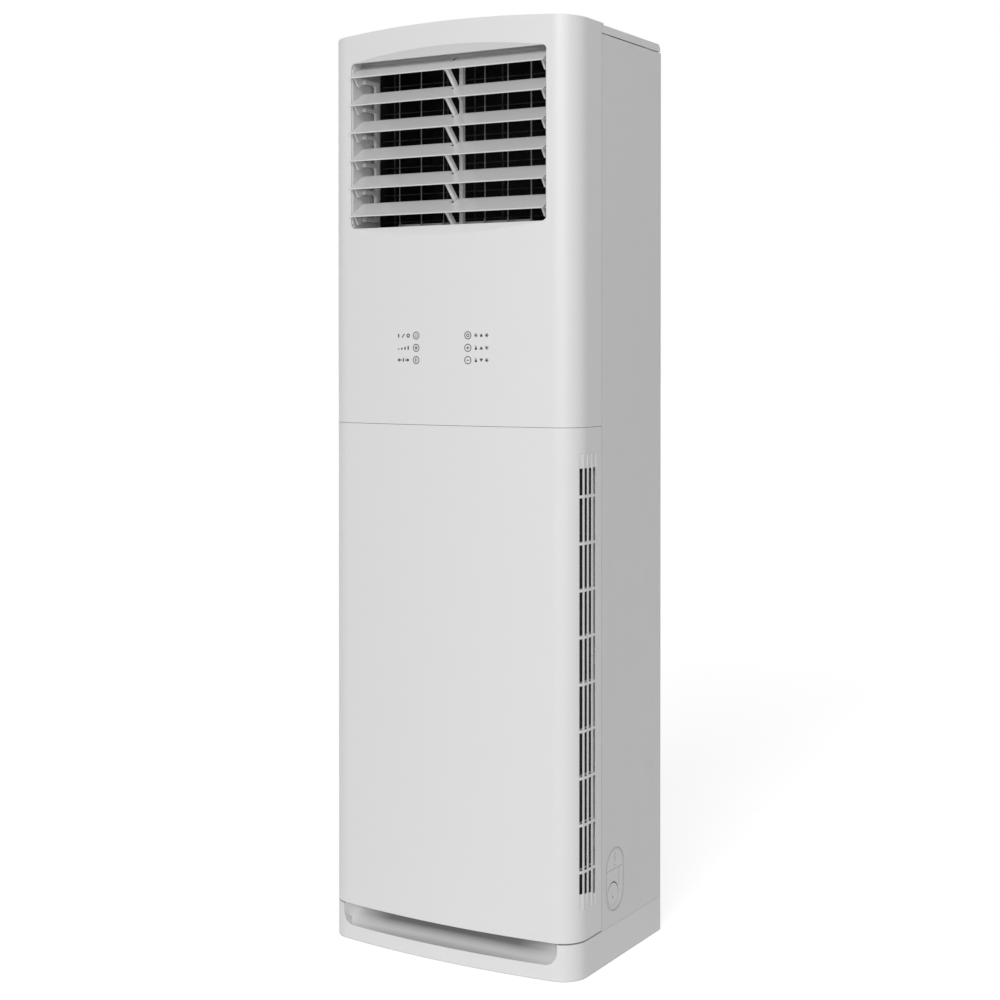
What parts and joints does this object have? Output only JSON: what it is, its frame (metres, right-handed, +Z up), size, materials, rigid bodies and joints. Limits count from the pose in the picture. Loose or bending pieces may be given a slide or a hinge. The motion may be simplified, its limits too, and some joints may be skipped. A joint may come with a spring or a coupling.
{
  "type": "floor-standing air conditioner",
  "caption": "Tall white floor-standing air conditioner cabinet with a bowed front, a louvered air outlet at the top, slotted air inlets at the sides and a hand recess in the plinth.",
  "frame": {"origin": "on the floor, in the middle of the cabinet footprint", "axes": "+Z up, the front faces -Y, +X to the right of someone who faces the front"},
  "size_m": [0.58, 0.4, 1.87],
  "materials": {
    "white_moulding": "smooth, satin gloss",
    "painted_sheet": "powder coat, satin",
    "louver_white": "glossy",
    "vane_white": "matte",
    "black_net": "matte",
    "black_foam": "closed-cell foam, matte",
    "galvanised": "galvanised",
    "fin_aluminium": "thin bright fins",
    "copper": "bright copper",
    "brass_fitting": "turned",
    "fan_plastic": "moulded, matte",
    "steel": "zinc plated",
    "motor_black": "matte",
    "rubber_black": "matte",
    "drain_plastic": "matte",
    "board_green": "solder mask"
  },
  "bodies": {
    "cabinet": {"air_duct_liner": "black_foam", "base_pan": "galvanised", "base_plinth": "white_moulding", "cable_gland": "rubber_black", "control_box": "galvanised", "control_box_lid": "black_net", "display_board": "board_green", "drain_pan": "black_foam", "drain_pipe": "drain_plastic", "evaporator_end_plates": "galvanised", "evaporator_fins": "fin_aluminium", "evaporator_tubes": "copper", "fan_deck": "galvanised", "fan_inlet_ring": "galvanised", "fan_motor": "motor_black", "fan_scroll_housing": "galvanised", "flare_fittings": "brass_fitting", "front_braces": "galvanised", "gas_header": "copper", "knockout_plate_left": "painted_sheet", "knockout_plate_right": "painted_sheet", "liquid_header": "copper", "louver_motor": "motor_black", "louver_support_post": "louver_white", "main_board": "board_green", "motor_bracket": "galvanised", "outlet_frame": "louver_white", "outlet_guard": "black_net", "pipe_grommet": "rubber_black", "rear_panel": "painted_sheet", "rear_screws": "steel", "run_capacitor": "motor_black", "side_panel_left": "painted_sheet", "side_panel_right": "painted_sheet", "terminal_block": "drain_plastic", "top_cover": "white_moulding", "upper_front_panel": "white_moulding", "vane_motor": "motor_black", "wall_bracket": "painted_sheet"},
    "front_panel": {"lower_front_panel": "white_moulding", "air_filter_right": "black_net", "air_filter_left": "black_net"},
    "fan_wheel": {"fan_impeller": "fan_plastic", "fan_shaft": "steel", "impeller_nut": "steel"},
    "louver_link": {"louver_link_bar": "louver_white"},
    "motor_crank": {"louver_motor_crank": "louver_white"},
    "vane_link": {"vane_link_rod": "vane_white"},
    "louver_1": {"louver_1": "louver_white"},
    "vane_1": {"vane_1": "vane_white"},
    "louver_2": {"louver_2": "louver_white"},
    "vane_2": {"vane_2": "vane_white"},
    "louver_3": {"louver_3": "louver_white"},
    "vane_3": {"vane_3": "vane_white"},
    "louver_4": {"louver_4": "louver_white"},
    "vane_4": {"vane_4": "vane_white"},
    "louver_5": {"louver_5": "louver_white"},
    "vane_5": {"vane_5": "vane_white"},
    "louver_6": {"louver_6": "louver_white"},
    "vane_6": {"vane_6": "vane_white"}
  },
  "joints": [
    {"name": "louver_1_tilt", "type": "hinge", "parent": "cabinet", "child": "louver_1", "pos_m": [0, -0.1776, 1.7781], "axis": [1, 0, 0], "range_deg": [-35, 20]},
    {"name": "louver_2_tilt", "type": "hinge", "parent": "cabinet", "child": "louver_2", "pos_m": [0, -0.1776, 1.7213], "axis": [1, 0, 0], "range_deg": [-35, 20]},
    {"name": "louver_3_tilt", "type": "hinge", "parent": "cabinet", "child": "louver_3", "pos_m": [0, -0.1776, 1.6645], "axis": [1, 0, 0], "range_deg": [-35, 20]},
    {"name": "louver_4_tilt", "type": "hinge", "parent": "cabinet", "child": "louver_4", "pos_m": [0, -0.1776, 1.6077], "axis": [1, 0, 0], "range_deg": [-35, 20]},
    {"name": "louver_5_tilt", "type": "hinge", "parent": "cabinet", "child": "louver_5", "pos_m": [0, -0.1776, 1.5509], "axis": [1, 0, 0], "range_deg": [-35, 20]},
    {"name": "louver_6_tilt", "type": "hinge", "parent": "cabinet", "child": "louver_6", "pos_m": [0, -0.1776, 1.4941], "axis": [1, 0, 0], "range_deg": [-35, 20]},
    {"name": "louver_link_pivot", "type": "hinge", "parent": "louver_1", "child": "louver_link", "pos_m": [-0.2156, -0.1576, 1.7715], "axis": [1, 0, 0], "range_deg": [-20, 35]},
    {"name": "motor_crank_turn", "type": "hinge", "parent": "cabinet", "child": "motor_crank", "pos_m": [-0.225, -0.13445, 1.6557], "axis": [1, 0, 0], "range_deg": [-35, 20]},
    {"name": "vane_1_swing", "type": "hinge", "parent": "cabinet", "child": "vane_1", "pos_m": [-0.157, -0.115, 1.64], "axis": [0, 0, 1], "range_deg": [-72, 8]},
    {"name": "vane_2_swing", "type": "hinge", "parent": "cabinet", "child": "vane_2", "pos_m": [-0.1032, -0.115, 1.64], "axis": [0, 0, 1], "range_deg": [-72, 8]},
    {"name": "vane_3_swing", "type": "hinge", "parent": "cabinet", "child": "vane_3", "pos_m": [-0.0494, -0.115, 1.64], "axis": [0, 0, 1], "range_deg": [-72, 8]},
    {"name": "vane_4_swing", "type": "hinge", "parent": "cabinet", "child": "vane_4", "pos_m": [0.0494, -0.115, 1.64], "axis": [0, 0, 1], "range_deg": [-72, 8]},
    {"name": "vane_5_swing", "type": "hinge", "parent": "cabinet", "child": "vane_5", "pos_m": [0.1032, -0.115, 1.64], "axis": [0, 0, 1], "range_deg": [-72, 8]},
    {"name": "vane_6_swing", "type": "hinge", "parent": "cabinet", "child": "vane_6", "pos_m": [0.157, -0.115, 1.64], "axis": [0, 0, 1], "range_deg": [-72, 8]},
    {"name": "vane_link_pivot", "type": "hinge", "parent": "vane_1", "child": "vane_link", "pos_m": [-0.16715, -0.09894, 1.476], "axis": [0, 0, 1], "range_deg": [-8, 72]},
    {"name": "fan_spin", "type": "hinge", "parent": "cabinet", "child": "fan_wheel", "pos_m": [0, 0.06, 0.44], "axis": [0, 1, 0], "continuous": true},
    {"name": "front_panel_pull", "type": "slide", "parent": "cabinet", "child": "front_panel", "axis": [0, -1, 0], "range_m": [0, 0.2]}
  ],
  "couplings": [
    {"joint": "louver_2_tilt", "follows": "louver_1_tilt", "ratio": 1},
    {"joint": "louver_3_tilt", "follows": "louver_1_tilt", "ratio": 1},
    {"joint": "louver_4_tilt", "follows": "louver_1_tilt", "ratio": 1},
    {"joint": "louver_5_tilt", "follows": "louver_1_tilt", "ratio": 1},
    {"joint": "louver_6_tilt", "follows": "louver_1_tilt", "ratio": 1},
    {"joint": "louver_link_pivot", "follows": "louver_1_tilt", "ratio": -1},
    {"joint": "motor_crank_turn", "follows": "louver_1_tilt", "ratio": 1},
    {"joint": "vane_2_swing", "follows": "vane_1_swing", "ratio": 1},
    {"joint": "vane_3_swing", "follows": "vane_1_swing", "ratio": 1},
    {"joint": "vane_4_swing", "follows": "vane_1_swing", "ratio": 1},
    {"joint": "vane_5_swing", "follows": "vane_1_swing", "ratio": 1},
    {"joint": "vane_6_swing", "follows": "vane_1_swing", "ratio": 1},
    {"joint": "vane_link_pivot", "follows": "vane_1_swing", "ratio": -1}
  ]
}
